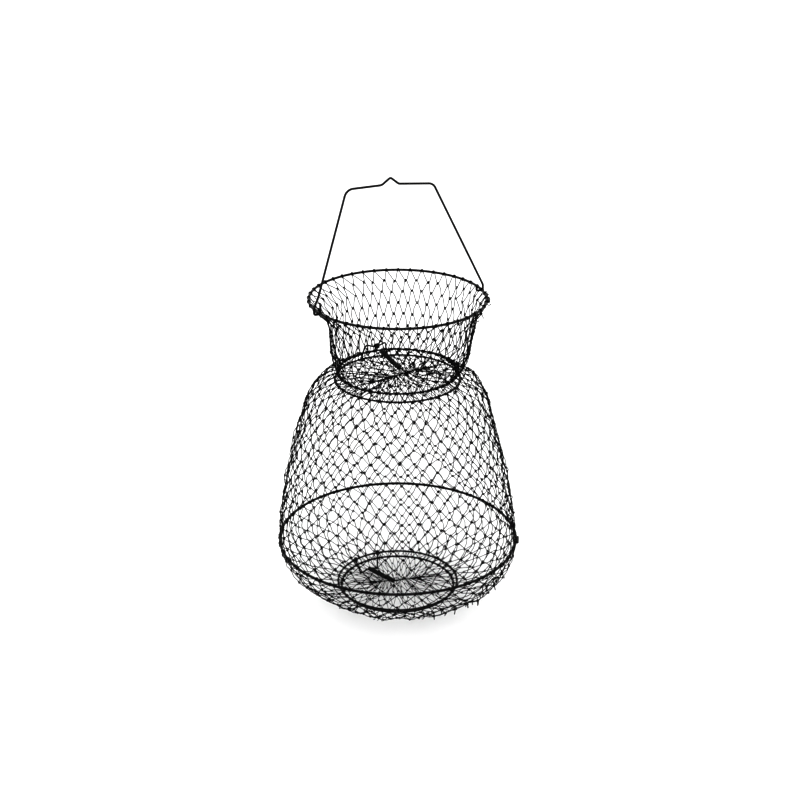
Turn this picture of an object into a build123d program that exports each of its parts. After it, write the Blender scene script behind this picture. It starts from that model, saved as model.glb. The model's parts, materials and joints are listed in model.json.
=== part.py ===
from build123d import *
import math
import os
from typing import NamedTuple

# ---------------------------------------------------------------------------
# Collapsible wire-mesh trap: a flared collar on a waisted mesh body, hung by a
# wire bail, with a sprung netting door in the neck and one in the bottom.
# Millimetres.  +Z is up, the bail's hinge line lies within a few degrees of X,
# and the door brackets stand near +Y.  The origin is on the trap's axis, at
# the level of the lowest wire.
# ---------------------------------------------------------------------------

# --------------------------------------------------------- driving dimensions
HOOP_WIRE = 1.3          # wire radius of the neck, bottom and door hoops
BAIL_WIRE = 1.5          # wire radii
BRACKET_WIRE = 1.15
SPRING_WIRE = 0.5
NET_WIRE = 0.5

MESHES = 44              # meshes round every row
MESH_STEP = 360 / MESHES
EYE_GAP = 0.3            # play of a mesh eye round its hoop

TOP_TURN = 3.2           # degrees from +Y to the top bracket
BOTTOM_TURN = 13.4       # degrees from +Y to the bottom bracket


class Hoop(NamedTuple):
    """A level ring of wire round the trap's axis."""
    radius: float            # of the wire's centreline
    z: float
    wire: float              # wire radius
    first_eye: float         # angle of the first net eye
    lap: tuple = None        # start angle and span of a lapped wire end


TOP_RING = Hoop(116.5, 444.4, 1.7, MESH_STEP / 2, lap=(-27.5, 6))
NECK_RING = Hoop(79.8, 341.4, HOOP_WIRE, 90 + TOP_TURN)
TOP_DOOR_RING = Hoop(83.7, 331.2, HOOP_WIRE, 90 + TOP_TURN)
MID_RING = Hoop(164.0, 93.4, 1.8, MESH_STEP / 2, lap=(-27.3, 5.5))
BOTTOM_DOOR_RING = Hoop(83.9, 22.6, HOOP_WIRE, 90 + BOTTOM_TURN)
BOTTOM_RING = Hoop(79.0, 16.6, HOOP_WIRE, 90 + BOTTOM_TURN)

HOOPS = {
    "top_ring": TOP_RING,                    # rim of the collar
    "neck_ring": NECK_RING,                  # seat of the top door
    "top_door_ring": TOP_DOOR_RING,          # just under its seat
    "mid_ring": MID_RING,                    # widest hoop of the body
    "bottom_door_ring": BOTTOM_DOOR_RING,    # just above its seat
    "bottom_ring": BOTTOM_RING,              # seat of the bottom door
}


def turned(point, degrees):
    """The point turned about the trap's axis."""
    x, y, z = point
    angle = math.radians(degrees)
    return (x * math.cos(angle) - y * math.sin(angle),
            x * math.sin(angle) + y * math.cos(angle), z)


def start_plane(path):
    """Plane square to a wire path at its start."""
    return Plane(origin=path @ 0, z_dir=path % 0)


# ------------------------------------------------------- hoops and net eyes
LAP_OVERLAP = 0.25       # how far the lapped end is sunk into the hoop


def build_hoop(hoop):
    with BuildPart() as ring:
        with BuildSketch(Plane.XZ):
            with Locations((hoop.radius, hoop.z)):
                Circle(hoop.wire)
        revolve(axis=Axis.Z)
        if hoop.lap:
            # the hoop's other end, lapped outside and welded
            start, span = hoop.lap
            lap_radius = hoop.radius + 2 * hoop.wire - LAP_OVERLAP
            points = [turned((lap_radius, 0, hoop.z), start + part * span)
                      for part in (0, 0.5, 1)]
            with BuildLine() as path:
                ThreePointArc(*points)
            with BuildSketch(start_plane(path.line)):
                Circle(hoop.wire)
            sweep(path=path.line)
    return ring.part


def build_eyes(hoop):
    """The net wires that end on a hoop, each wound into a small eye round it."""
    with BuildPart() as eyes:
        with Locations((0, 0, hoop.z)):
            with PolarLocations(hoop.radius, MESHES, start_angle=hoop.first_eye):
                Torus(hoop.wire + EYE_GAP + NET_WIRE, NET_WIRE, rotation=(90, 0, 0))
    return eyes.part


# --------------------------------------------------------------------- bail
# Each hook runs down outside the rim, under it and up inside.  The right hook
# is at +X and the left one is a mesh further round than the point opposite,
# so the hinge line is a chord that passes on the -Y side of the axis.
HALF_MESH = math.pi / MESHES
HALF_HINGE = TOP_RING.radius * math.cos(HALF_MESH)
HINGE_OFFSET = TOP_RING.radius * math.sin(HALF_MESH)
LEFT_REACH = TOP_RING.wire + BAIL_WIRE + 1.1     # hook leg from the rim wire,
RIGHT_REACH = TOP_RING.wire + BAIL_WIRE + 1.5    # clear of the net eyes
HOOK_Z = TOP_RING.z - (TOP_RING.wire + BAIL_WIRE + 0.15)
HOOK_BEND = 2.4
BAIL_END_ROUNDING = 0.5

# distance along the hinge line, z
LEFT_HOOK = [
    (-HALF_HINGE + LEFT_REACH, HOOK_Z + 13.0),
    (-HALF_HINGE + LEFT_REACH, HOOK_Z),
    (-HALF_HINGE - LEFT_REACH, HOOK_Z),
    (-HALF_HINGE - LEFT_REACH, HOOK_Z + 9.0),
]
# left leg, crossbar with a peak in it, start of the right leg
BAIL_BOW = [
    (-114.5, 463.5), (-73.7, 600.6), (-25.7, 600.9),
    (-13.6, 609.6), (-2.2, 600.3), (46.2, 595.3),
]
RIGHT_HOOK = [
    (HALF_HINGE + RIGHT_REACH, HOOK_Z + 7.5),
    (HALF_HINGE + RIGHT_REACH, HOOK_Z),
    (HALF_HINGE - RIGHT_REACH, HOOK_Z),
    (HALF_HINGE - RIGHT_REACH, HOOK_Z + 8.5),
]
# bend radii at all corners between the two wire ends
BAIL_BENDS = [HOOK_BEND, HOOK_BEND, 14, 60, 12, 9, 3.4, 6, 11, 8, HOOK_BEND, HOOK_BEND]


def build_handle():
    normal = Vector(math.sin(HALF_MESH), -math.cos(HALF_MESH), 0)
    plane = Plane(
        origin=normal * HINGE_OFFSET,
        x_dir=(math.cos(HALF_MESH), math.sin(HALF_MESH), 0),
        z_dir=normal,
    )
    with BuildPart() as handle:
        with BuildLine(plane) as path:
            FilletPolyline(*LEFT_HOOK, *BAIL_BOW, *RIGHT_HOOK, radius=BAIL_BENDS)
        with BuildSketch(start_plane(path.line)):
            Circle(BAIL_WIRE)
        sweep(path=path.line)
        # rounded-over wire ends
        fillet(handle.faces().filter_by(GeomType.PLANE).edges(), BAIL_END_ROUNDING)
    return handle.part


# -------------------------------------------------------------------- doors
# Places are given before the door is turned about the trap's axis, with the
# bracket at +Y.
FOOT = 18.5              # half chord between the two bracket eyes
FOOT_RISE = 2.8          # end of a bracket leg from the door hoop's level
HEAD = 14.2              # half width of the crossbar
HEAD_SETBACK = 0.6       # crossbar's ends further out than its notch
NOTCH = 3.4              # half width of the notch


def seat_y(seat, half_width, gap):
    """y of a bracket leg that passes just outside its seat hoop."""
    return math.sqrt(seat.radius ** 2 - half_width ** 2) + seat.wire + BRACKET_WIRE + gap


class Door(NamedTuple):
    hoop: Hoop
    turn: float          # degrees from +Y to the bracket
    outward: int         # +1 when the bracket stands above the door, -1 below
    leg: tuple           # bend of the bracket leg at the seat hoop
    foot_bend: float     # bend radius there
    head_z: float        # level of the crossbar's ends
    notch: tuple         # middle of the crossbar's notch
    spring_end: tuple    # far end of the spring, at the gathered netting
    coil_start: float    # first turn of the spring's coil from the notch
    netting: list        # section: radius, z from the hoop's level
    gather_floor: float  # underside of the cut at the gathered middle, likewise


TOP_DOOR = Door(
    hoop=TOP_DOOR_RING,
    turn=TOP_TURN,
    outward=1,
    leg=(17.2, seat_y(NECK_RING, 17.2, gap=0.32), NECK_RING.z),
    foot_bend=1,
    head_z=TOP_DOOR_RING.z + 22.3,
    notch=(0, 75.4, TOP_DOOR_RING.z + 18.4),
    spring_end=(9.7, 8.7, TOP_DOOR_RING.z + 6.4),
    coil_start=12.6,     # the top spring hangs on a longer loop
    netting=[(79.6, -0.5), (79.6, 0.6), (45, 0.9), (18, 1.6),
             (4, 2.2), (4, 1.1), (18, 0.5), (45, -0.2)],
    gather_floor=-5,
)
BOTTOM_DOOR = Door(
    hoop=BOTTOM_DOOR_RING,
    turn=BOTTOM_TURN,
    outward=-1,
    leg=(17.4, seat_y(BOTTOM_RING, 17.4, gap=0.22), BOTTOM_RING.z - 0.6),
    foot_bend=1.5,
    head_z=BRACKET_WIRE + 0.02,
    notch=(0, 74.8, BOTTOM_DOOR_RING.z - 17.4),
    spring_end=(0.0, 4.0, BOTTOM_DOOR_RING.z - 5.8),
    coil_start=7.4,
    netting=[(79.8, -0.5), (79.8, 0.6), (45, 0.2), (18, -0.5),
             (4, -1.1), (4, -2.2), (18, -1.6), (45, -0.9)],
    gather_floor=-7,
)
DOORS = {"top": TOP_DOOR, "bottom": BOTTOM_DOOR}

# ----------------------------------------------------------- door brackets
# A yoke of wire whose legs pass outside the seat hoop, where they are welded.
# Its feet end in eyes that carry the door hoop; the crossbar has a notch that
# holds the return spring.
EYE_R = 3.6              # outer radius of a bracket eye
EYE_BORE = 1.65
EYE_LENGTH = 2.6
HEAD_BEND = 3
NOTCH_BEND = 1.6


def build_bracket(door):
    foot_y = math.sqrt(door.hoop.radius ** 2 - FOOT ** 2)
    half = [
        (FOOT, foot_y, door.hoop.z + door.outward * FOOT_RISE),
        door.leg,
        (HEAD, door.notch[1] + HEAD_SETBACK, door.head_z),
        (NOTCH, door.notch[1], door.notch[2]),
    ]
    corners = [(-x, y, z) for x, y, z in half] + half[::-1]
    bends = [door.foot_bend, HEAD_BEND, NOTCH_BEND]
    eye_plane = Plane(
        origin=(0, 0, 0),
        x_dir=turned((0, 1, 0), door.turn),
        z_dir=turned((1, 0, 0), door.turn),
    )
    eye_centre = (foot_y, door.hoop.z)

    with BuildPart() as bracket:
        with BuildLine() as path:
            FilletPolyline(*[turned(corner, door.turn) for corner in corners],
                           radius=bends + bends[::-1])
        with BuildSketch(start_plane(path.line)):
            Circle(BRACKET_WIRE)
        sweep(path=path.line)
        # both eyes: one long rod, cleared between the feet, then bored
        with BuildSketch(eye_plane):
            with Locations(eye_centre):
                Circle(EYE_R)
        extrude(amount=FOOT + EYE_LENGTH / 2, both=True)
        with BuildSketch(eye_plane):
            with Locations(eye_centre):
                Circle(EYE_R + 1)
        extrude(amount=FOOT - EYE_LENGTH / 2, both=True, mode=Mode.SUBTRACT)
        with BuildSketch(eye_plane):
            with Locations(eye_centre):
                Circle(EYE_BORE)
        extrude(amount=FOOT + EYE_LENGTH, both=True, mode=Mode.SUBTRACT)
    return bracket.part


# ---------------------------------------------------------- return springs
# Close-wound extension springs.  One end loop rides on the bracket's notch; a
# hook at the other end reaches the gathered middle of the door netting.
COIL_R = 2.75            # centreline radius of the coil
COIL_WIRE = SPRING_WIRE + 0.06       # thickened so that the turns touch
COIL_END_GAP = 7.6       # least distance from the coil to the spring's far end
PITCH = 1.04
LOOP_R = 2.6             # centreline radius of the end loops
LOOP_AT = 0.65           # loop centre from the notch, along the spring
LOOP_TAIL = 0.6          # how far the loop's wire runs on into the coil
HOOK_GAP = 0.7           # from the coil to the start of the hook's wire
HOOK_INSET = 1.6         # hook centre short of the spring's far end


def spring_layout(door):
    """Plane with x along the spring from the notch, spring length, turns."""
    notch = Vector(*turned(door.notch, door.turn))
    span = Vector(*turned(door.spring_end, door.turn)) - notch
    direction = span.normalized()
    # as nearly square to the hinge line as a plane through the spring can be
    hinge = Vector(*turned((1, 0, 0), door.turn))
    normal = hinge - direction * hinge.dot(direction)
    turns = int((span.length - COIL_END_GAP - door.coil_start) / PITCH)
    return Plane(origin=notch, x_dir=direction, z_dir=normal), span.length, turns


def build_spring(door):
    plane, _, turns = spring_layout(door)
    centres = [(door.coil_start + (k + 0.5) * PITCH, COIL_R) for k in range(turns)]
    with BuildPart() as spring:
        # the turns, as a stack of rings
        with BuildSketch(plane):
            with Locations(*centres):
                Circle(COIL_WIRE)
        revolve(axis=Axis(plane.origin, plane.x_dir))
        # the loop on the notch
        with BuildLine(plane) as path:
            Line((door.coil_start + LOOP_TAIL, COIL_R), (LOOP_AT, COIL_R))
            CenterArc((LOOP_AT, COIL_R - LOOP_R), LOOP_R, 90, 300)
        with BuildSketch(start_plane(path.line)):
            Circle(SPRING_WIRE)
        sweep(path=path.line)
    return spring.part


def build_spring_hook(door):
    """The separate hook between the coil and the gathered netting."""
    plane, length, turns = spring_layout(door)
    start = door.coil_start + turns * PITCH + HOOK_GAP
    centre = length - HOOK_INSET
    with BuildPart() as hook:
        with BuildLine(plane) as path:
            Line((start, COIL_R), (centre, COIL_R))
            CenterArc((centre, COIL_R - LOOP_R), LOOP_R, 90, -290)
        with BuildSketch(start_plane(path.line)):
            Circle(SPRING_WIRE)
        sweep(path=path.line)
    return hook.part


# ------------------------------------------------------------ door netting
# Netting disc inside each door hoop, drawn together at the middle by a ring.
TIE_R = 4.2
TIE_WIRE = 0.6
TIE_OFFSET = 0.6         # tie from the hoop's level, towards the bracket
GATHER_R = 9.5           # opening left for the tie and the spring hook
GATHER_DEPTH = 12
GATHER_SHIFT = 2         # gathered middle from the spring's end, towards -Y


def gather_centre(door):
    x, y, _ = turned(door.spring_end, door.turn)
    return x, y - GATHER_SHIFT


def build_door_netting(door):
    section = [(r, door.hoop.z + z) for r, z in door.netting]
    with BuildPart() as netting:
        with BuildSketch(Plane.XZ):
            with BuildLine():
                Polyline(*section, close=True)
            make_face()
        revolve(axis=Axis.Z)
        # the gathered middle, where the spring hook and its ring sit
        with BuildSketch(Plane.XY.offset(door.hoop.z + door.gather_floor)):
            with Locations(gather_centre(door)):
                Circle(GATHER_R)
        extrude(amount=GATHER_DEPTH, mode=Mode.SUBTRACT)
    return netting.part


def build_door_tie(door):
    with BuildPart() as tie:
        with Locations((*gather_centre(door), door.hoop.z + door.outward * TIE_OFFSET)):
            Torus(TIE_R, TIE_WIRE)
    return tie.part


# ------------------------------------------------------- netting envelopes
SHELL = 1.6              # thickness of the envelopes

# outer outlines from top to bottom: radius, z
COLLAR = [
    (111.8, 438.4), (106.4, 430.5), (101.0, 421.6), (96.2, 406.6), (92.6, 390.6),
    (90.2, 372.6), (88.4, 360.0), (86.2, 352.0), (83.4, 346.6),
]
UPPER_BODY = [
    (86.6, 340.2), (100.0, 336.2), (111.0, 329.6), (117.0, 321.0), (119.5, 311.0),
    (122.5, 297.0), (127.5, 277.6), (135.2, 247.6), (143.5, 212.6), (151.4, 172.6),
    (158.8, 132.6), (163.0, 98.4),
]
LOWER_BODY = [
    (163.2, 88.4), (161.4, 75.0), (155.8, 60.6), (148.0, 49.6), (138.0, 40.8),
    (126.5, 33.2), (113.0, 26.0), (101.0, 21.2), (91.4, 18.8),
]

# opening in the collar round the top bracket's legs
WINDOW_WIDTH = 46
WINDOW_HEIGHT = 17
WINDOW_Z = 350           # its middle
WINDOW_START = 70        # the cut's start from the trap's axis
WINDOW_DEPTH = 24


def inner_side(outline):
    """The outline moved SHELL towards the inside of the netting."""
    moved = []
    for i, (r, z) in enumerate(outline):
        r_before, z_before = outline[max(i - 1, 0)]
        r_after, z_after = outline[min(i + 1, len(outline) - 1)]
        dr, dz = r_after - r_before, z_after - z_before
        length = math.hypot(dr, dz)
        moved.append((r + dz / length * SHELL, z - dr / length * SHELL))
    return moved


def build_envelope(outline, window=False):
    with BuildPart() as netting:
        with BuildSketch(Plane.XZ):
            with BuildLine():
                outer = Spline(*outline)
                inner = Spline(*inner_side(outline)[::-1])
                Line(outer @ 1, inner @ 0)
                Line(inner @ 1, outer @ 0)
            make_face()
        revolve(axis=Axis.Z)
        if window:
            # meshes spread round the bracket's legs
            window_plane = Plane(
                origin=turned((0, WINDOW_START, 0), TOP_TURN),
                x_dir=turned((1, 0, 0), TOP_TURN),
                z_dir=turned((0, -1, 0), TOP_TURN),
            )
            with BuildSketch(window_plane):
                with Locations((0, WINDOW_Z)):
                    Rectangle(WINDOW_WIDTH, WINDOW_HEIGHT)
            extrude(amount=-WINDOW_DEPTH, mode=Mode.SUBTRACT)
    return netting.part


# ------------------------------------------------------------------ output
pieces = {
    "handle": build_handle(),
    "collar_netting": build_envelope(COLLAR, window=True),
    "body_netting_upper": build_envelope(UPPER_BODY),
    "body_netting_lower": build_envelope(LOWER_BODY),
}
for name, hoop in HOOPS.items():
    pieces[name] = build_hoop(hoop)
    pieces[f"{name}_eyes"] = build_eyes(hoop)
for name, door in DOORS.items():
    pieces[f"{name}_door_bracket"] = build_bracket(door)
    pieces[f"{name}_door_netting"] = build_door_netting(door)
    pieces[f"{name}_door_tie"] = build_door_tie(door)
    pieces[f"{name}_door_spring"] = build_spring(door)
    pieces[f"{name}_spring_hook"] = build_spring_hook(door)

os.makedirs("parts", exist_ok=True)
for name, piece in pieces.items():
    piece.label = name
    export_step(piece, f"parts/{name}.step")
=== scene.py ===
# A folding wire-mesh trap, standing upright with its axis on Z (metres, +Z up).
# From the top down: rim hoop, collar net, neck hoop, widening body net, mid hoop, base net and
# base hoop.  A sprung door of netting closes the neck, and another closes the base.
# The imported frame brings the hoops, handle, brackets and ties.  The netting, the wraps that
# hold it on the hoops, the springs and the weld beads are built here.
import json
import math
from collections import namedtuple

import bpy
import numpy as np
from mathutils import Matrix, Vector


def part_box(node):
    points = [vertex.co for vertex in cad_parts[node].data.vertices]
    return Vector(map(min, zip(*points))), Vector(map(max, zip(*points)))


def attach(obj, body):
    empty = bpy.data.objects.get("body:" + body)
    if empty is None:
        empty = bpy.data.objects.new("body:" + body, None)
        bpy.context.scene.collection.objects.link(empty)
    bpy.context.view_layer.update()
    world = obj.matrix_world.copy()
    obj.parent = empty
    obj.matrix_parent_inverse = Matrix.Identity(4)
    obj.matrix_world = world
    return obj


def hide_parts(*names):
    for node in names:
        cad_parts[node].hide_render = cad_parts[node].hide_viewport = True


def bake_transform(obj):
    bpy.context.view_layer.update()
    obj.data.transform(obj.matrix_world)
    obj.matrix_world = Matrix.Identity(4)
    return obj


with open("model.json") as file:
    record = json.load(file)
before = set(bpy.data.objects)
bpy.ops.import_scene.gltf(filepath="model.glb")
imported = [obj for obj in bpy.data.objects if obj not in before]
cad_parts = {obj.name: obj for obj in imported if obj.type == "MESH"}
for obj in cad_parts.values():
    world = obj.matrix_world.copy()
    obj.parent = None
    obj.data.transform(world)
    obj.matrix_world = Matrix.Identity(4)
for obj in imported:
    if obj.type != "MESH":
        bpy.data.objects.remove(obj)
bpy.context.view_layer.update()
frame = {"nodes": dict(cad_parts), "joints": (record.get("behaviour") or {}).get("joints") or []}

TAU = math.tau
MM = 0.001
UP = np.array([0.0, 0.0, 1.0])
scene = bpy.context.scene

# ------------------------------------------------------------- frame sizes
Hoop = namedtuple("Hoop", "radius z wire")      # wire-centre radius, level, wire radius
JOINTS = {joint["name"]: joint for joint in frame["joints"]}


def box(node):
    """Lowest and highest corner of a frame piece."""
    return np.array([list(corner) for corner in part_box(node)], float)


def hoop(node):
    low, high = box(node)
    wire = (high[2] - low[2]) / 2
    return Hoop(-low[0] - wire, (high[2] + low[2]) / 2, wire)


def joint_vector(name, key):
    return np.array(JOINTS[name][key], float)


def bracket_turn(end):
    """How far round from +X a door bracket stands, in degrees."""
    pivot = joint_vector(f"{end}_spring_swing", "pos_m")
    return math.degrees(math.atan2(pivot[1], pivot[0]))


RIM = hoop("top_ring")
NECK = hoop("neck_ring")
TOP_DOOR = hoop("top_door_ring")
MID = hoop("mid_ring")
BOTTOM_DOOR = hoop("bottom_door_ring")
BASE = hoop("bottom_ring")
TOP_TIE = box("top_door_tie").mean(axis=0)
BOTTOM_TIE = box("bottom_door_tie").mean(axis=0)
TOP_TURN = bracket_turn("top")
BOTTOM_TURN = bracket_turn("bottom")

# ----------------------------------------------------------- netting sizes
MESHES = 44                     # meshes round every row
STEP = TAU / MESHES
MESH_SIDE = 17.0 * MM
SIDES = 5                       # sides of a netting wire
NET_WIRE = 0.55 * MM            # wire radii
BASE_NET_WIRE = 0.50 * MM
TOP_DOOR_WIRE = 0.44 * MM
BOTTOM_DOOR_WIRE = 0.35 * MM
LEAN_TURN = math.radians(-20)   # the nets lean to the camera's right
LEAN_DIRECTION = np.array([math.cos(LEAN_TURN), math.sin(LEAN_TURN), 0.0])


# ------------------------------------------------------------ tube builder
def unit(vector, guard=0.0):
    return vector / (np.linalg.norm(vector) + guard)


def outward(turn):
    return np.array([math.cos(turn), math.sin(turn), 0.0])


def anticlockwise(turn):
    return np.array([-math.sin(turn), math.cos(turn), 0.0])


def skin(sections, sides, closed=False):
    """Quads that join a run of cross-sections."""
    here = np.arange(sections if closed else sections - 1)[:, None]
    after = (here + 1) % sections
    side = np.arange(sides)[None]
    next_side = (side + 1) % sides
    quads = np.stack([here * sides + side, here * sides + next_side,
                      after * sides + next_side, after * sides + side], -1)
    return quads.reshape(-1, 4).tolist()


class Wires:
    """Collects swept round wires and turns them into one mesh."""

    def __init__(self):
        self.vertices, self.faces, self.count = [], [], 0

    def append(self, vertices, faces):
        self.faces.extend([corner + self.count for corner in face] for face in faces)
        self.vertices.append(vertices)
        self.count += len(vertices)

    def add(self, points, radius, sides=SIDES, closed=False):
        """Sweep a round section along the points, carrying it without spin."""
        points = np.asarray(points, float)
        count = len(points)
        if closed:
            tangent = np.roll(points, -1, 0) - np.roll(points, 1, 0)
        else:
            tangent = np.empty_like(points)
            tangent[1:-1] = points[2:] - points[:-2]
            tangent[0] = points[1] - points[0]
            tangent[-1] = points[-1] - points[-2]
        tangent /= np.linalg.norm(tangent, axis=1)[:, None] + 1e-15
        across = np.empty_like(points)
        reference = UP if abs(tangent[0][2]) < 0.9 else np.array([1.0, 0, 0])
        current = unit(np.cross(tangent[0], reference))
        for i in range(count):
            current = unit(current - tangent[i] * (current @ tangent[i]))
            across[i] = current
        other = np.cross(tangent, across)
        turn = np.zeros((count, 1))
        if closed:
            # turn the sections a little all the way round, so that the last meets the first
            last = unit(across[-1] - tangent[0] * (across[-1] @ tangent[0]))
            twist = math.atan2(np.cross(last, across[0]) @ tangent[0], last @ across[0])
            turn = (np.arange(count) / count * twist)[:, None]
        angle = (np.arange(sides) * TAU / sides)[None] + turn
        rings = points[:, None] + radius * (np.cos(angle)[..., None] * across[:, None]
                                            + np.sin(angle)[..., None] * other[:, None])
        faces = skin(count, sides, closed)
        if not closed:
            total = count * sides
            faces.append(list(range(sides))[::-1])
            faces.append(list(range(total - sides, total)))
        self.append(rings.reshape(-1, 3), faces)

    def mesh(self, name, material):
        mesh = bpy.data.meshes.new(name)
        mesh.from_pydata(np.concatenate(self.vertices).tolist(), [], self.faces)
        mesh.update()
        mesh.shade_smooth()
        mesh.materials.append(material)
        obj = bpy.data.objects.new(name, mesh)
        scene.collection.objects.link(obj)
        return obj


# --------------------------------------------------------------- materials
DUST = (0.05, 0.048, 0.045)


def steel_material(name, base, roughness, grain, bump, chip, specular,
                   metallic=0.0, coat=0.0, chip_at=0.70, dust_amount=0.10):
    """Enamelled or oiled steel: tone drift, uneven gloss, fine orange peel, worn chips and a
    trace of dust.  grain is the scale of the orange peel, chip the colour of the worn spots,
    and a higher chip_at leaves fewer of them."""
    material = bpy.data.materials.new(name)
    material.use_nodes = True
    nodes, links = material.node_tree.nodes, material.node_tree.links
    shader = nodes["Principled BSDF"]
    coords = nodes.new("ShaderNodeTexCoord").outputs["Object"]

    def noise(scale, detail, roughness=0.55):
        node = nodes.new("ShaderNodeTexNoise")
        node.inputs["Scale"].default_value = scale
        node.inputs["Detail"].default_value = detail
        node.inputs["Roughness"].default_value = roughness
        links.new(coords, node.inputs["Vector"])
        return node.outputs["Fac"]

    def remap(value, to_min, to_max, from_min=0.0, from_max=1.0):
        node = nodes.new("ShaderNodeMapRange")
        node.inputs["From Min"].default_value = from_min
        node.inputs["From Max"].default_value = from_max
        node.inputs["To Min"].default_value = to_min
        node.inputs["To Max"].default_value = to_max
        links.new(value, node.inputs["Value"])
        return node.outputs["Result"]

    def product(first, second):
        node = nodes.new("ShaderNodeMath")
        node.operation = "MULTIPLY"
        links.new(first, node.inputs[0])
        links.new(second, node.inputs[1])
        return node.outputs[0]

    def mix(factor, under, colour):
        node = nodes.new("ShaderNodeMix")
        node.data_type = "RGBA"
        links.new(factor, node.inputs[0])
        links.new(under, node.inputs[6])
        node.inputs[7].default_value = (*colour, 1)
        return node.outputs[2]

    def bump_node(strength, distance, height):
        node = nodes.new("ShaderNodeBump")
        node.inputs["Strength"].default_value = strength
        node.inputs["Distance"].default_value = distance
        links.new(height, node.inputs["Height"])
        return node

    shader.inputs["Specular IOR Level"].default_value = specular
    # slow drift from a darker to a lighter tone
    tone = nodes.new("ShaderNodeValToRGB")
    stops = tone.color_ramp.elements
    stops[0].position = 0.32
    stops[0].color = (*(c * 0.55 for c in base), 1)
    stops[1].position = 0.74
    stops[1].color = (*(c * 1.9 + 0.001 for c in base), 1)
    stops.new(0.52).color = (*base, 1)
    links.new(noise(scale=38, detail=3), tone.inputs["Fac"])
    # dust lying in specks on the upper faces
    split = nodes.new("ShaderNodeSeparateXYZ")
    links.new(nodes.new("ShaderNodeNewGeometry").outputs["Normal"], split.inputs[0])
    upward = remap(split.outputs["Z"], 0.0, dust_amount, from_min=0.15)
    specks = remap(noise(scale=260, detail=5), 0.0, 1.0, from_min=0.42, from_max=0.72)
    colour = mix(product(upward, specks), tone.outputs["Color"], DUST)
    # small worn chips, gathered in patches, where bare metal shows
    chips = remap(noise(scale=520, detail=6, roughness=0.65), 0.0, 1.0,
                  from_min=chip_at, from_max=chip_at + 0.05)
    patches = remap(noise(scale=46, detail=2), 0.0, 1.0, from_min=0.50, from_max=0.62)
    worn = product(chips, patches)
    links.new(mix(worn, colour, chip), shader.inputs["Base Color"])
    links.new(remap(worn, metallic, 0.85), shader.inputs["Metallic"])
    gloss = remap(noise(scale=150, detail=5), roughness - 0.10, roughness + 0.16,
                  from_min=0.3, from_max=0.7)
    links.new(gloss, shader.inputs["Roughness"])
    if coat:
        shader.inputs["Coat Weight"].default_value = coat
        shader.inputs["Coat Roughness"].default_value = 0.22
    # fine orange peel over a coarser unevenness
    fine = bump_node(bump, 0.0002, noise(scale=grain, detail=6))
    coarse = bump_node(bump * 0.7, 0.0004, noise(scale=grain / 6, detail=3))
    links.new(fine.outputs["Normal"], coarse.inputs["Normal"])
    links.new(coarse.outputs["Normal"], shader.inputs["Normal"])
    return material


HANDLE_ENAMEL = steel_material(
    "bail_enamel", base=(0.0018, 0.0018, 0.0020), roughness=0.34, grain=2600, bump=0.25,
    coat=0.02, chip=(0.09, 0.085, 0.08), specular=0.16)
HOOP_ENAMEL = steel_material(
    "hoop_enamel", base=(0.0018, 0.0018, 0.0020), roughness=0.36, grain=2300, bump=0.28,
    coat=0.02, chip=(0.08, 0.075, 0.07), specular=0.14)
BRACKET_ENAMEL = steel_material(
    "bracket_enamel", base=(0.0022, 0.0022, 0.0024), roughness=0.40, grain=2600, bump=0.3,
    chip=(0.10, 0.095, 0.09), specular=0.14)
NET_ENAMEL = steel_material(
    "net_enamel", base=(0.0015, 0.0015, 0.0016), roughness=0.44, grain=3000, bump=0.22,
    chip=(0.05, 0.047, 0.044), chip_at=0.75, dust_amount=0.05, specular=0.06)
EYE_ENAMEL = steel_material(
    "eye_enamel", base=(0.0015, 0.0015, 0.0016), roughness=0.42, grain=3200, bump=0.25,
    chip=(0.06, 0.056, 0.052), dust_amount=0.05, specular=0.07)
SPRING_STEEL = steel_material(
    "spring_black_oxide", base=(0.005, 0.005, 0.0054), roughness=0.34, grain=3000, bump=0.2,
    metallic=0.55, chip=(0.20, 0.19, 0.18), chip_at=0.72, dust_amount=0.05, specular=0.25)
WELD = steel_material(
    "weld_bead", base=(0.008, 0.0078, 0.0076), roughness=0.50, grain=1500, bump=0.6,
    chip=(0.07, 0.062, 0.056), chip_at=0.66, specular=0.15)


# ----------------------------------------------------------------- netting
def profile(points, rows):
    """Smooth a net's outline of (radius, height) points in mm and place its levels on it.
    Meshes of one side length open and close with the girth, which sets the row spacing.
    Returns the curve, the arc length at its points and the arc length at each level."""
    outline = np.array(points, float) * MM
    curve = [outline[0]]
    for i in range(len(outline) - 1):       # Catmull-Rom spline
        before, start = outline[max(i - 1, 0)], outline[i]
        end, after = outline[i + 1], outline[min(i + 2, len(outline) - 1)]
        for u in np.linspace(0, 1, 13)[1:]:
            curve.append(0.5 * ((2 * start) + (-before + end) * u
                                + (2 * before - 5 * start + 4 * end - after) * u * u
                                + (-before + 3 * start - 3 * end + after) * u ** 3))
    curve = np.array(curve)
    lengths = np.hypot(*np.diff(curve, axis=0).T)
    arc = np.r_[0, np.cumsum(lengths)]
    radius = np.interp((arc[1:] + arc[:-1]) / 2, arc, curve[:, 0])
    half_width = math.pi * radius / MESHES
    height = np.sqrt(np.maximum(MESH_SIDE * MESH_SIDE - half_width ** 2,
                                (0.35 * MESH_SIDE) ** 2))
    level = np.r_[0, np.cumsum(lengths / height)]
    level = level / level[-1] * rows
    return curve, arc, np.interp(np.arange(rows + 1), level, arc)


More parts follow.
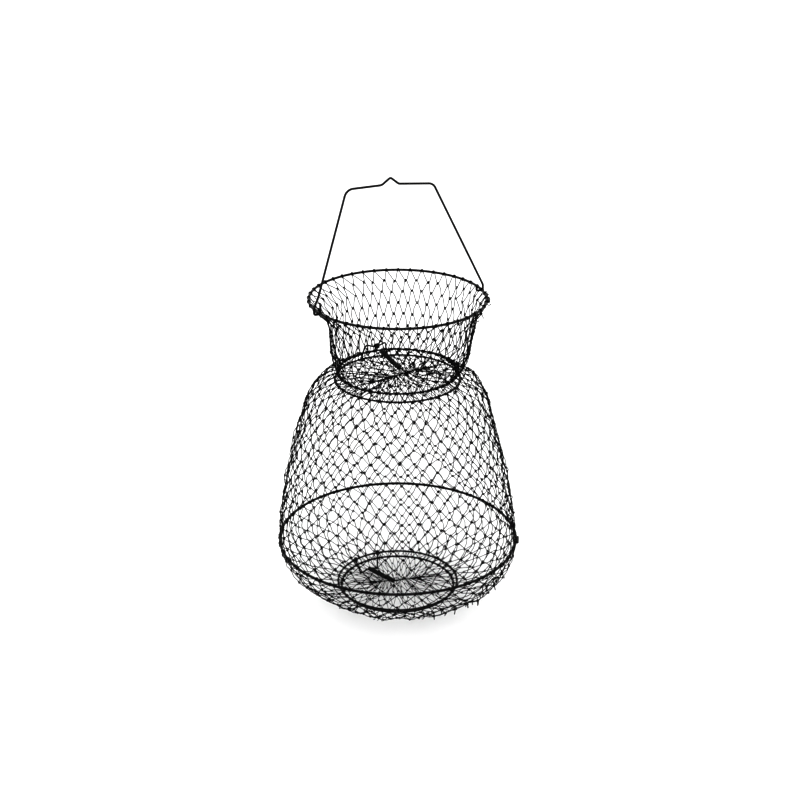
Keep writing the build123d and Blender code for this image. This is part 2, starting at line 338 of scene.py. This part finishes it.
class Net:
    """Interlinked zigzag wires on a surface of revolution.  Row k runs from level k to level
    k + 1, and level 0 is at the start of the outline.

    phase, twist: turn of level 0 and added turn of the last level, in meshes
    rough: amount of irregularity
    lean: (share of the levels, sideways lean in mm) stations
    bow: how far the wires bulge outwards between their eyes, in mm
    seam: (middle, direction in degrees, half length) of the line a door net is drawn to
    """

    def __init__(self, points, rows, phase, seed, rough, wire=NET_WIRE, eye_radius=1.15 * MM,
                 twist=0.0, lean=((0, 0), (1, 0)), bow=0.0, seam=None):
        self.curve, self.arc, self.level_arc = profile(points, rows)
        self.rows, self.phase, self.twist = rows, phase, twist
        self.wire, self.eye_radius, self.bow, self.seam = wire, eye_radius, bow, seam
        self.lean = np.array(lean, float)
        self.rng = np.random.default_rng(seed)
        levels = rows + 1
        normal = self.rng.normal
        # how far each node strays round the net, up it and out of it
        self.stray_round = normal(0, 0.75, (levels, MESHES)) * MM * rough
        self.stray_up = normal(0, 0.85, (levels, MESHES)) * MM * rough
        self.stray_out = normal(0, 1.05, (levels, MESHES)) * MM * rough
        # slow bulging and sagging of the sheet, in waves round the net
        turns = (np.arange(MESHES) * STEP)[None]
        bulge = np.zeros((levels, MESHES))
        sag = np.zeros((levels, MESHES))
        for waves in range(2, 8):
            bulge_size, bulge_phase = normal(0, 1, 2)
            sag_size, sag_phase = normal(0, 1, 2)
            drift = np.arange(levels)[:, None] * self.rng.uniform(0.2, 0.7)
            bulge += bulge_size * np.cos(waves * turns + drift + bulge_phase * 3) / waves
            sag += sag_size * np.cos(waves * turns - drift + sag_phase * 3) / waves
        self.stray_out += bulge * 0.9 * MM * rough
        self.stray_up += sag * 0.9 * MM * rough
        # the first and last levels keep their place
        for level in (0, rows):
            self.stray_round[level] *= 0.25
            self.stray_up[level] = 0
            self.stray_out[level] = 0
        # tilt and relative size of the eyes; the last index is 1 for a row's upper bends
        self.tilt = normal(0, 0.28, (levels, MESHES, 2))
        self.size = normal(1, 0.12, (levels, MESHES, 2)).clip(0.72, 1.35)

    def angle(self, level, i):
        meshes = self.phase + i % MESHES + 0.5 * (level % 2) + self.twist * level / self.rows
        return meshes * STEP

    def outline_at(self, arc):
        """Radius and height at an arc length."""
        return np.array([np.interp(arc, self.arc, self.curve[:, 0]),
                         np.interp(arc, self.arc, self.curve[:, 1])])

    def node(self, level, i):
        """Centre of a node and its axes: round the net, towards level 0, out of the sheet."""
        arc = self.level_arc[level]
        radius, z = self.outline_at(arc)
        reach = 0.5 * MM            # the slope is taken over this far each way
        rise = (self.outline_at(max(arc - reach, 0))
                - self.outline_at(min(arc + reach, self.arc[-1])))
        rise = rise / (math.hypot(*rise) + 1e-12)
        i = i % MESHES
        turn = self.angle(level, i)
        along = anticlockwise(turn)
        up = outward(turn) * rise[0] + UP * rise[1]
        out = np.cross(along, up)
        centre = outward(turn) * radius + UP * z
        if self.seam is not None:
            # a door net is pressed flat and drawn together along a short seam
            middle, degrees, half_length = self.seam
            heading = math.radians(degrees)
            edge = self.curve[0, 0]
            pull = ((edge - radius) / (edge - self.curve[-1, 0])) ** 0.92
            offset = half_length * math.cos(turn - heading)
            x = (edge * math.cos(turn) * (1 - pull)
                 + (middle[0] + offset * math.cos(heading)) * pull)
            y = (edge * math.sin(turn) * (1 - pull)
                 + (middle[1] + offset * math.sin(heading)) * pull)
            centre = np.array([x, y, z])
        lean = np.interp(level / self.rows, self.lean[:, 0], self.lean[:, 1]) * MM
        centre = centre + LEAN_DIRECTION * lean
        centre = (centre + along * self.stray_round[level, i] + up * self.stray_up[level, i]
                  + out * self.stray_out[level, i])
        return centre, along, up, out

    def tail(self, level, i, wires, length, wire=NET_WIRE, curl=1.0):
        """A wire end left standing out of a knot, curled at its tip.
        length: shortest and longest, in mm."""
        uniform = self.rng.uniform
        reach = uniform(*length) * MM
        centre, along, up, out = self.node(level, i)
        ahead = unit(out * uniform(0.8, 1.0) - up * uniform(0.0, 0.5)
                     + along * uniform(-0.5, 0.5))
        aside = unit(np.cross(ahead, along * uniform(-1, 1) + up * uniform(-1, 1)), 1e-9)
        bend = uniform(0.3, 1.6) * curl
        points = []
        for u in np.linspace(0, 1, 8):
            turn = bend * u * u * 0.8
            points.append(centre + ahead * (reach * u * math.cos(turn))
                          + aside * (reach * u * math.sin(turn)) - up * (reach * 0.12 * u * u))
        wires.add(points, wire)

    def eye(self, level, i, top):
        """Points of one bend: a wound eye that hooks the eye of the next row's wire.
        top: the bend is the upper one of its row, so its wire hangs from the net above."""
        centre, along, up, out = self.node(level, i)
        i = i % MESHES
        side = int(top)
        radius = self.eye_radius * self.size[level, i, side]
        swing = (math.pi / 4 if top else -math.pi / 4) + self.tilt[level, i, side]
        across = along * math.cos(swing) + out * math.sin(swing)
        inward = up * (-1.0 if top else 1.0)        # towards the wire's own row
        axis = np.cross(across, inward)
        middle = centre + inward * (radius - self.wire)
        start, end = math.radians(206), math.radians(694)
        points = []
        for u in np.linspace(0, 1, 14):
            turn = start + (end - start) * u
            points.append(middle + across * (radius * math.cos(turn))
                          + inward * (radius * math.sin(turn))
                          + axis * ((u - 0.5) * 2.9 * self.wire))
        return points

    def row(self, level, wires):
        """The closed zigzag wire between a level and the next."""
        eyes = []
        for i in range(MESHES):
            eyes.append(self.eye(level, i, True))
            eyes.append(self.eye(level + 1, i + level % 2, False))
        path = []
        for i, eye in enumerate(eyes):
            path.extend(eye)
            middle = (eye[-1] + eyes[(i + 1) % len(eyes)][0]) / 2
            out = unit(middle * np.array([1.0, 1.0, 0.0]), 1e-9)
            path.append(middle + self.rng.normal(0, 0.42, 3) * MM + out * (self.bow * MM))
        wires.add(path, self.wire, closed=True)

    def hoop_row(self, row, wires, wraps, ring, shift, at_top):
        """The row that is wound on a hoop.  Its wraps go to one mesh and its V-shaped wires
        to another.  shift moves the wraps round the hoop."""
        hoop_level, free_level = (row, row + 1) if at_top else (row + 1, row)
        wrap_wire = self.wire * 0.88
        wrap_radius = ring.wire + 0.88 * self.wire + 0.12 * MM
        wrap_sweep = math.pi + TAU
        wrap_width = 2.15 * self.wire * 1.5
        leads = []
        for i in range(MESHES):
            turn = self.angle(hoop_level, i) + (shift / ring.radius
                                                + self.stray_round[hoop_level, i] / ring.radius)
            out, along = outward(turn), anticlockwise(turn)
            centre = out * ring.radius + UP * ring.z
            # the wrap starts square to the net where it meets the hoop
            free = self.node(free_level, i)[0]
            start = math.atan2(math.hypot(free[0], free[1]) - ring.radius, ring.z - free[2])
            points = []
            for u in np.linspace(0, 1, 21):
                angle = start + wrap_sweep * u
                points.append(centre
                              + wrap_radius * (math.cos(angle) * out + math.sin(angle) * UP)
                              + along * ((u - 0.5) * wrap_width))
            wraps.add(points, wrap_wire)
            # the leads run a little inside the wrap's ends
            leads.append([centre + (point - centre) * 0.9 for point in points])
        for i in range(MESHES):
            lead_out, lead_in = leads[i], leads[(i + 1) % MESHES]
            eye = self.eye(free_level, i + hoop_level % 2, not at_top)
            path = [lead_out[-2], lead_out[-1],
                    (lead_out[-1] + eye[0]) / 2 + self.rng.normal(0, 0.2, 3) * MM]
            path += eye
            path += [(eye[-1] + lead_in[0]) / 2 + self.rng.normal(0, 0.2, 3) * MM,
                     lead_in[0], lead_in[1]]
            wires.add(path, self.wire)


def weave(net, row_wires, first, last=None):
    """Build all the rows of a net.  row_wires gives the wires each row goes to, first and
    last the (wraps, hoop, shift) at its ends; without last the end is free."""
    net.hoop_row(0, row_wires[0], *first, at_top=True)
    for row in range(1, net.rows - 1 if last else net.rows):
        net.row(row, row_wires[row])
    if last:
        net.hoop_row(net.rows - 1, row_wires[-1], *last, at_top=False)


def degrees_apart(first, second):
    return abs((first - second + 180) % 360 - 180)


# Outlines of the nets from the top down: (radius, height) in mm
COLLAR = [
    (RIM.radius / MM, RIM.z / MM), (108.5, 435.0), (102.2, 427.5), (98.2, 420.6),
    (95.6, 406.6), (93.6, 390.6), (92.2, 374.6), (90.6, 362.0), (87.0, 351.0),
    (NECK.radius / MM + 1.2, NECK.z / MM + 1)]
BODY = [
    (NECK.radius / MM + 1.5, NECK.z / MM - 0.5), (89.0, 337.6), (98.0, 332.6), (107.0, 325.4),
    (114.6, 316.6), (120.0, 307.4), (123.6, 297.0), (126.6, 286.0), (130.4, 272.6),
    (136.8, 245.6), (145.2, 210.6), (152.8, 172.6), (160.2, 132.6),
    (MID.radius / MM, MID.z / MM)]
LOWER = [
    (MID.radius / MM, MID.z / MM), (161.4, 79.0), (156.8, 68.0), (150.2, 57.5), (142.0, 48.0),
    (133.0, 40.0), (123.6, 32.6), (111.5, 25.6), (98.0, 20.4),
    (BASE.radius / MM + 1.5, BASE.z / MM + 0.3)]

collar_wires, shoulder_wires, skirt_wires, base_wires = (Wires() for _ in range(4))
top_door_wires, bottom_door_wires = Wires(), Wires()
rim_wraps, neck_wraps, mid_wraps, base_wraps = (Wires() for _ in range(4))
top_door_wraps, bottom_door_wraps = Wires(), Wires()


def build_collar():
    net = Net(COLLAR, rows=7, phase=0.5, seed=11, rough=1.1, bow=1.0,
              lean=((0, 0), (0.14, 3.4), (0.35, 6.4), (0.6, 6.8), (0.8, 4.0), (1, 0)))
    weave(net, [collar_wires] * net.rows, (rim_wraps, RIM, 0.0), (neck_wraps, NECK, 2.8 * MM))
    for level in range(1, 6):
        for i in range(MESHES):
            turn = math.degrees(net.angle(level, i))
            dense = level < 3 and degrees_apart(turn, -16) < 20
            bare = min(degrees_apart(turn, 0), degrees_apart(turn, 188.2)) < 7.0
            if net.rng.random() < (0.5 if dense else 0.03) and not bare:
                net.tail(level, i, collar_wires, (5.0, 8.0) if dense else (2.5, 4))


def build_body():
    """Neck to mid hoop; its rows are shared between the shoulder and the skirt below it."""
    net = Net(BODY, rows=21, phase=TOP_TURN / 360 * MESHES % 1, seed=23, rough=1.15, bow=1.6,
              lean=((0, 0), (0.12, 0), (0.25, -1.8), (0.7, -1.6), (0.9, -0.4), (1, 0)))
    row_wires = [shoulder_wires] * 11 + [skirt_wires] * 10
    weave(net, row_wires, (neck_wraps, NECK, 1.6 * MM), (mid_wraps, MID, -1.3 * MM))
    for level in range(2, 19):
        for i in range(MESHES):
            if net.rng.random() < 0.035:
                net.tail(level, i, row_wires[level], (2.5, 4.5))


def build_base():
    # twisted so that no wrap sits on a foot of the bracket
    net = Net(LOWER, rows=9, phase=0.5, seed=37, rough=1.35, bow=1.5, wire=BASE_NET_WIRE,
              twist=(BOTTOM_TURN / 360 * MESHES + 0.5) % 1 - 0.5,
              lean=((0, 0), (0.3, 2.0), (0.6, 3.4), (1, 0)))
    weave(net, [base_wires] * net.rows, (mid_wraps, MID, 1.3 * MM), (base_wraps, BASE, 0.0))
    # wire ends stand out of the knots, most of them low on one side
    for level in range(2, 8):
        for i in range(MESHES):
            turn = math.degrees(net.angle(level, i))
            dense = 3 < level < 7 and degrees_apart(turn, -55) < 34
            if net.rng.random() < (0.75 if dense else 0.05):
                if dense:
                    net.tail(level, i, base_wires, (4.0, 7.5), wire=0.75 * MM, curl=0.3)
                else:
                    net.tail(level, i, base_wires, (3, 5.5))
            if level > 2 and degrees_apart(turn, -110) < 75:
                for _ in range(2):
                    if net.rng.random() < 0.38:
                        net.tail(level, i, base_wires, (3.0, 5.0), wire=0.42 * MM, curl=2.6)


# Loose curls outside the rim:
# degrees round from +X, height above the rim in mm, radius in mm, start and sweep in degrees
RIM_CURLS = (
    (-11.5, 1.5, 2.1, 120, 210), (-17.0, 0.5, 2.5, 100, 190), (-20.5, -3.0, 2.2, 60, 120),
    (-29.0, -2.0, 2.4, 150, 200), (-7.0, -3.5, 1.8, 90, 150))


def build_rim_curls():
    for degrees, height, radius, start, sweep in RIM_CURLS:
        turn = math.radians(degrees)
        out, along = outward(turn), anticlockwise(turn)
        centre = (out * (RIM.radius + RIM.wire + radius * MM * 0.8)
                  + UP * (RIM.z + height * MM))
        points = [out * (RIM.radius + RIM.wire * 0.7) + UP * (RIM.z + (height - 1.5) * MM)]
        for angle in np.linspace(math.radians(start), math.radians(start + sweep), 12):
            points.append(centre + out * (radius * MM * math.cos(angle))
                          + UP * (radius * MM * math.sin(angle)) + along * (0.5 * MM * angle))
        rim_wraps.add(points, NET_WIRE)


# Door nets: hoop to the gathered middle
TOP_SEAM_TURN = 20.0            # degrees round from +X
BOTTOM_SEAM_TURN = -9.0


def door_outline(ring, rises, middle_z):
    """Outline in mm; rises are the heights over the hoop at the inner radii."""
    z = ring.z / MM
    inner = [(radius, z + rise) for radius, rise in zip((66, 48, 30, 15), rises)]
    return [(ring.radius / MM, z), *inner, (4.6, middle_z)]


def build_top_door():
    net = Net(door_outline(TOP_DOOR, (0.6, 1.2, 0.9, 1.2), TOP_TIE[2] / MM + 1.0), rows=5,
              phase=TOP_TURN / 360 * MESHES, seed=51, rough=1.9, wire=TOP_DOOR_WIRE,
              eye_radius=0.95 * MM, seam=(TOP_TIE, TOP_SEAM_TURN, 25 * MM))
    weave(net, [top_door_wires] * net.rows, (top_door_wraps, TOP_DOOR, 0.0))
    for level in range(1, 5):
        for i in range(MESHES):
            if net.rng.random() < 0.12:
                net.tail(level, i, top_door_wires, (3.5, 8.0), wire=TOP_DOOR_WIRE)
    # the seam is whipped with wire on both sides of the tie
    heading = math.radians(TOP_SEAM_TURN)
    along, across = outward(heading), anticlockwise(heading)
    # way along the seam, start and end from the tie in mm, drop in mm
    for way, start, end, drop in ((1, 7.5, 19.0, 2.2), (-1, 8.5, 21.0, 2.6)):
        points = []
        for u in np.linspace(0, 1, 90):
            angle = u * TAU * 6.5
            radius = (1.7 + 0.5 * math.sin(9.0 * u + way)) * MM
            points.append(TOP_TIE + UP * ((1.0 - drop * u) * MM)
                          + along * (way * (start + (end - start) * u) * MM)
                          + across * (radius * math.cos(angle))
                          + UP * (0.75 * radius * math.sin(angle)))
        top_door_wires.add(points, TOP_DOOR_WIRE)


def build_bottom_door():
    net = Net(door_outline(BOTTOM_DOOR, (-0.4, -0.8, -1.6, -2.6), BOTTOM_TIE[2] / MM - 1.0),
              rows=5, phase=BOTTOM_TURN / 360 * MESHES, seed=57, rough=1.2,
              wire=BOTTOM_DOOR_WIRE, eye_radius=0.80 * MM,
              seam=(BOTTOM_TIE, BOTTOM_SEAM_TURN, 27 * MM))
    weave(net, [bottom_door_wires] * net.rows, (bottom_door_wraps, BOTTOM_DOOR, 0.0))


build_collar()
build_body()
build_base()
build_rim_curls()
build_top_door()
build_bottom_door()

# object name, wires, frame piece it replaces, (body, hoop) at its upper and lower end
SPANNING_NETS = (
    ("collar_net", collar_wires, "collar_netting", ("rim", RIM), ("neck", NECK)),
    ("body_net_shoulder", shoulder_wires, "body_netting_upper", ("neck", NECK), ("mid", MID)),
    ("body_net_skirt", skirt_wires, "body_netting_upper", ("neck", NECK), ("mid", MID)),
    ("base_net", base_wires, "body_netting_lower", ("mid", MID), ("bottom", BASE)))
# object name, wires, frame piece it replaces, body it rides on
DOOR_NETS = (
    ("top_door_net", top_door_wires, "top_door_netting", "top_door"),
    ("bottom_door_net", bottom_door_wires, "bottom_door_netting", "bottom_door"))
WRAPS = (
    ("rim_wraps", rim_wraps, "top_ring_eyes", "rim"),
    ("neck_wraps", neck_wraps, "neck_ring_eyes", "neck"),
    ("mid_wraps", mid_wraps, "mid_ring_eyes", "mid"),
    ("base_wraps", base_wraps, "bottom_ring_eyes", "bottom"),
    ("top_door_wraps", top_door_wraps, "top_door_ring_eyes", "top_door"),
    ("bottom_door_wraps", bottom_door_wraps, "bottom_door_ring_eyes", "bottom_door"))

net_objects = [entry[1].mesh(entry[0], NET_ENAMEL) for entry in SPANNING_NETS + DOOR_NETS]
wrap_objects = [entry[1].mesh(entry[0], EYE_ENAMEL) for entry in WRAPS]
for obj, (*_, (upper_body, upper), (lower_body, lower)) in zip(net_objects, SPANNING_NETS):
    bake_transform(obj)
riding_objects = net_objects[len(SPANNING_NETS):] + wrap_objects
for obj, (*_, body) in zip(riding_objects, DOOR_NETS + WRAPS):
    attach(obj, body)
for obj, entry in zip(net_objects + wrap_objects, SPANNING_NETS + DOOR_NETS + WRAPS):
    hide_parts(entry[2])


# ----------------------------------------------------------------- springs
def build_spring(end, length, coil_start, loops):
    """One wire: loops over the bracket, close-wound coil, hook at the door's middle.
    Lengths are in mm from the pivot; loops is the number of turns over the bracket."""
    pivot = joint_vector(f"{end}_spring_swing", "pos_m")
    axis = joint_vector(f"{end}_spring_stretch", "axis")
    hinge = joint_vector(f"{end}_door_hinge", "axis")
    aside = hinge * (-1 if hinge[0] < 0 else 1)
    aside = unit(aside - axis * (aside @ axis))
    across = np.cross(aside, axis)

    def place(x, y, z):
        return pivot + axis * (x * MM) + across * (y * MM) + aside * (z * MM)

    coil_radius = 2.75
    coil_pitch = 1.06
    coil_end = length - 6.0
    per_turn = 16
    loop_radius = 2.35 + 0.2 * loops
    loop_x = 0.65
    loop_pitch = 1.08
    hook_radius = 2.6
    hook_x = length - 1.6
    quarter = math.radians(90)

    points = []
    # the end loop is wound round the bracket's notch, its turns side by side
    for turn in np.linspace(math.radians(90 + 360 * loops - 55), quarter, 24 * loops):
        points.append(place(
            loop_x + loop_radius * math.cos(turn),
            coil_radius - loop_radius + loop_radius * math.sin(turn),
            loop_pitch * (turn - quarter) / TAU
            - loop_pitch / 2 * (loops - 1) * min(1.0, (turn - quarter) / 1.5)))
    for x in np.linspace(1.6, coil_start - 1.2, 4 if coil_start > 8 else 2):
        points.append(place(x, coil_radius, 0))
    steps = int((coil_end - coil_start) / coil_pitch) * per_turn
    for i in range(steps + 1):
        turn = i / per_turn * TAU
        ease = min(1.0, i / 6.0)
        points.append(place(
            coil_start + (coil_end - coil_start) * i / steps - 0.7 * (1 - ease),
            coil_radius * math.cos(turn), coil_radius * math.sin(turn)))
    for x in np.linspace(coil_end + 0.8, hook_x - 0.9, 3):
        points.append(place(x, coil_radius, 0))
    for turn in np.linspace(quarter, math.radians(-205), 24):
        points.append(place(
            hook_x + hook_radius * math.cos(turn),
            coil_radius - hook_radius + hook_radius * math.sin(turn),
            -0.9 * (quarter - turn) / TAU))
    wires = Wires()
    wires.add(points, 0.5 * MM, sides=8)
    obj = wires.mesh(f"{end}_return_spring", SPRING_STEEL)
    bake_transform(obj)
    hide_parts(f"{end}_door_spring", f"{end}_spring_hook")


build_spring("top", length=68.46, coil_start=14.6, loops=5)
build_spring("bottom", length=71.74, coil_start=3.9, loops=2)


# ------------------------------------------------------------- weld beads
def build_beads(name, body, spots, seed):
    """Small lumps of weld.  Each spot is (centre, level long axis, length, radius)."""
    rng = np.random.default_rng(seed)
    wires = Wires()
    bands, sides = 9, 12
    rings = bands - 1
    for centre, along, length, radius in spots:
        phases = rng.uniform(0, TAU, 3)
        out = np.cross(along, UP)
        down = np.cross(along, out)
        vertices = []
        for j in range(1, bands):
            polar = math.pi * j / bands
            for k in range(sides):
                turn = TAU * k / sides
                lump = (1 + 0.16 * math.sin(3 * turn + phases[0] + 2 * polar)
                        + 0.10 * math.sin(10 * polar + phases[1]))
                width = radius * math.sin(polar) * lump
                vertices.append(centre - along * (length / 2 * math.cos(polar))
                                + out * (width * math.cos(turn))
                                + down * (width * math.sin(turn)))
        vertices.append(centre - along * length / 2)
        vertices.append(centre + along * length / 2)
        faces = skin(rings, sides)
        start_tip, last_ring = rings * sides, (rings - 1) * sides
        for k in range(sides):
            after = (k + 1) % sides
            faces.append([start_tip, after, k])
            faces.append([start_tip + 1, last_ring + k, last_ring + after])
        wires.append(np.array(vertices), faces)
    obj = wires.mesh(name, WELD)
    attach(obj, body)


def weld_spot(ring, degrees, out, rise, length, radius):
    """A bead along a hoop, moved outwards and up from the hoop's wire centre."""
    turn = math.radians(degrees)
    centre = outward(turn) * (ring.radius + out) + UP * (ring.z + rise)
    return centre, anticlockwise(turn), length, radius


def hoop_spots(ring, turns):
    """Beads above and below the outer side of a hoop, at turns in degrees."""
    return [weld_spot(ring, degrees, out=ring.wire * 0.93, rise=way * ring.wire * 0.62,
                      length=4.2 * MM, radius=ring.wire * 0.62)
            for degrees in turns for way in (1, -1)]


def foot_spots(ring, bracket):
    """Beads on a hoop at the two feet of a bracket, 17.3 mm to each side of its middle."""
    foot = math.degrees(math.asin(17.3 * MM / ring.radius))
    return [weld_spot(ring, bracket + way * foot, out=ring.wire + 0.15 * MM, rise=0,
                      length=3.6 * MM, radius=1.25 * MM)
            for way in (1, -1)]


build_beads("rim_weld", "rim", hoop_spots(RIM, (-26.2, -22.8)), seed=5)
build_beads("mid_weld", "mid", hoop_spots(MID, (-26.2, -23.2)), seed=6)
build_beads("neck_bracket_weld", "neck", foot_spots(NECK, TOP_TURN), seed=7)
build_beads("base_bracket_weld", "bottom", foot_spots(BASE, BOTTOM_TURN), seed=8)

# ----------------------------------------------- materials of frame pieces
for material, pieces in (
    (HANDLE_ENAMEL, ("handle",)),
    (HOOP_ENAMEL, ("top_ring", "neck_ring", "mid_ring", "bottom_ring", "top_door_ring",
                   "bottom_door_ring")),
    (BRACKET_ENAMEL, ("top_door_bracket", "bottom_door_bracket")),
    (EYE_ENAMEL, ("top_door_tie", "bottom_door_tie")),
):
    for piece in pieces:
        obj = frame["nodes"][piece]
        if not obj.material_slots:
            obj.data.materials.append(material)
        for slot in obj.material_slots:
            slot.material = material

# ------------------------------------------------------------------- stage
FLOOR_Z = -0.6 * MM
FLOOR_HALF = 12.0


def floor_material():
    """Near-white and matt, with a faint drift of tone."""
    material = bpy.data.materials.new("studio_floor")
    material.use_nodes = True
    nodes, links = material.node_tree.nodes, material.node_tree.links
    shader = nodes["Principled BSDF"]
    coords = nodes.new("ShaderNodeTexCoord")
    noise = nodes.new("ShaderNodeTexNoise")
    noise.inputs["Scale"].default_value = 3
    ramp = nodes.new("ShaderNodeValToRGB")
    ramp.color_ramp.elements[0].color = (0.90, 0.90, 0.90, 1)
    ramp.color_ramp.elements[1].color = (0.93, 0.93, 0.93, 1)
    links.new(coords.outputs["Object"], noise.inputs["Vector"])
    links.new(noise.outputs["Fac"], ramp.inputs["Fac"])
    links.new(ramp.outputs["Color"], shader.inputs["Base Color"])
    shader.inputs["Roughness"].default_value = 0.9
    return material


def build_floor():
    mesh = bpy.data.meshes.new("floor")
    corners = [(x * FLOOR_HALF, y * FLOOR_HALF, FLOOR_Z)
               for x, y in ((-1, -1), (1, -1), (1, 1), (-1, 1))]
    mesh.from_pydata(corners, [], [(0, 1, 2, 3)])
    mesh.materials.append(floor_material())
    floor = bpy.data.objects.new("floor", mesh)
    scene.collection.objects.link(floor)


def light_world():
    """Even white light from all round."""
    world = scene.world or bpy.data.worlds.new("studio")
    scene.world = world
    world.use_nodes = True
    nodes = world.node_tree.nodes
    background = nodes.get("Background") or nodes.new("ShaderNodeBackground")
    background.inputs[0].default_value = (1, 1, 1, 1)
    background.inputs[1].default_value = 1.42


def add_key_light():
    """A soft sun behind the camera's shoulder, so the shadow falls behind the trap."""
    light = bpy.data.lights.new("key", "SUN")
    light.energy = 0.9
    light.angle = 0.20
    key = bpy.data.objects.new("key", light)
    shine = Vector((0.307, 0.845, -0.438))      # the way the light travels
    key.rotation_euler = shine.to_track_quat("-Z", "Y").to_euler()
    scene.collection.objects.link(key)


def add_camera():
    turn = math.radians(-20.0)          # round Z, from looking along +Y
    pitch = math.radians(23.11)         # downwards
    distance = 1.942                    # out from the trap's axis
    height = 1.105                      # above the bottom door
    data = bpy.data.cameras.new("camera")
    data.sensor_width = 36.0
    data.lens = 70.56
    data.shift_x = 0.003
    camera = bpy.data.objects.new("camera", data)
    camera.location = (math.sin(turn) * distance, -math.cos(turn) * distance,
                       height + BOTTOM_DOOR.z)
    camera.rotation_euler = (math.pi / 2 - pitch, 0, turn)
    scene.collection.objects.link(camera)
    scene.camera = camera


build_floor()
light_world()
add_key_light()
add_camera()

scene.view_settings.view_transform = "Standard"
scene.view_settings.look = "None"
scene.view_settings.gamma = 0.68
